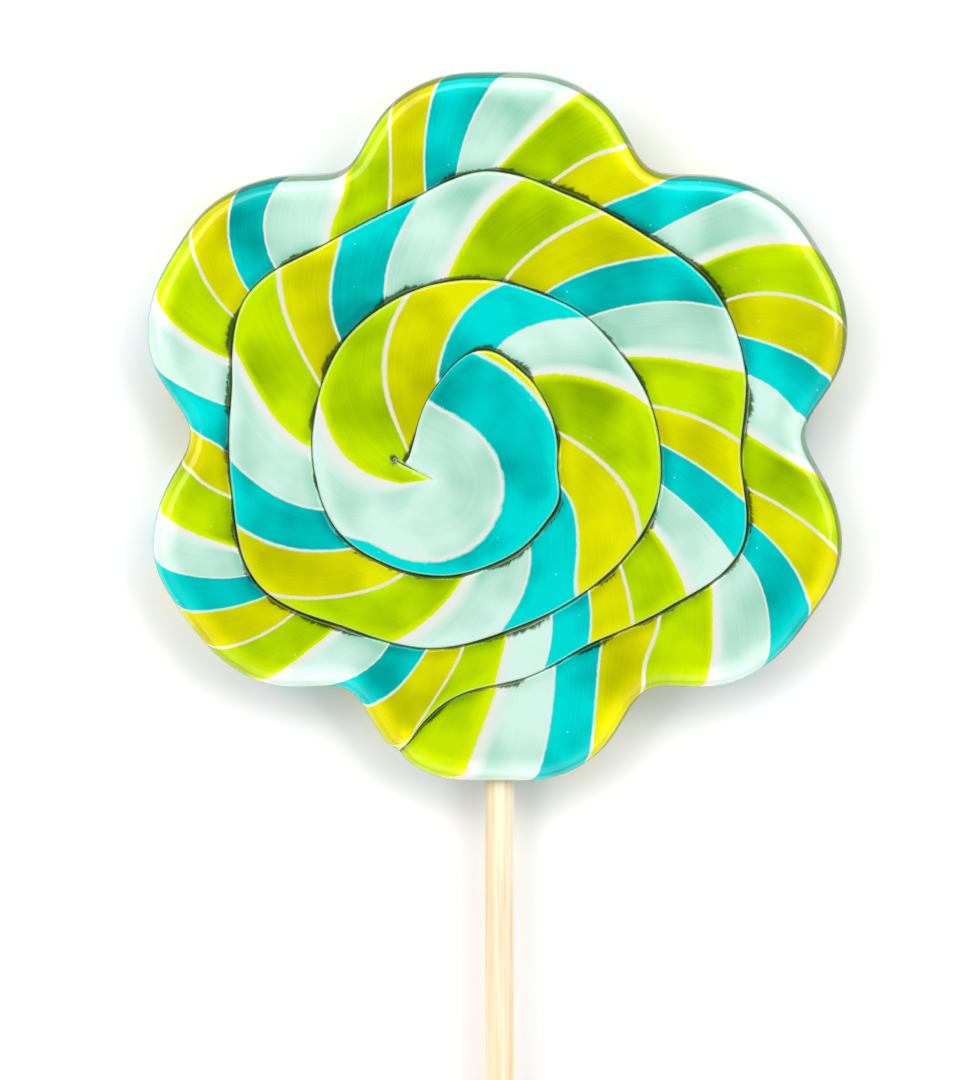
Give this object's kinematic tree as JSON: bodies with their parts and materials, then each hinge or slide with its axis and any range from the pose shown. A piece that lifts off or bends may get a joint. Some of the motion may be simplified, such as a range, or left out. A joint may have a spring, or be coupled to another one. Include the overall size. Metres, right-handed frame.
{
  "type": "lollipop",
  "caption": "Flat flower-shaped swirl lollipop: a striped rope of boiled sugar coiled and pressed flat on a round bamboo stick, lying on its back.",
  "frame": {"origin": "centre of the flower on its flat back, which is the face that it lies on", "axes": "+Y away from the stick along its axis, +Z out of the shown face, +X to the right as seen from above"},
  "size_m": [0.0948, 0.2115, 0.009],
  "materials": {
    "boiled_sugar": "glossy pulled sugar in lime, yellow, turquoise and mint stripes with white lines",
    "bamboo": "pale sanded bamboo, matt, with fine lengthwise fibres"
  },
  "bodies": {
    "root": {"candy": "boiled_sugar", "stick": "bamboo"}
  },
  "joints": []
}
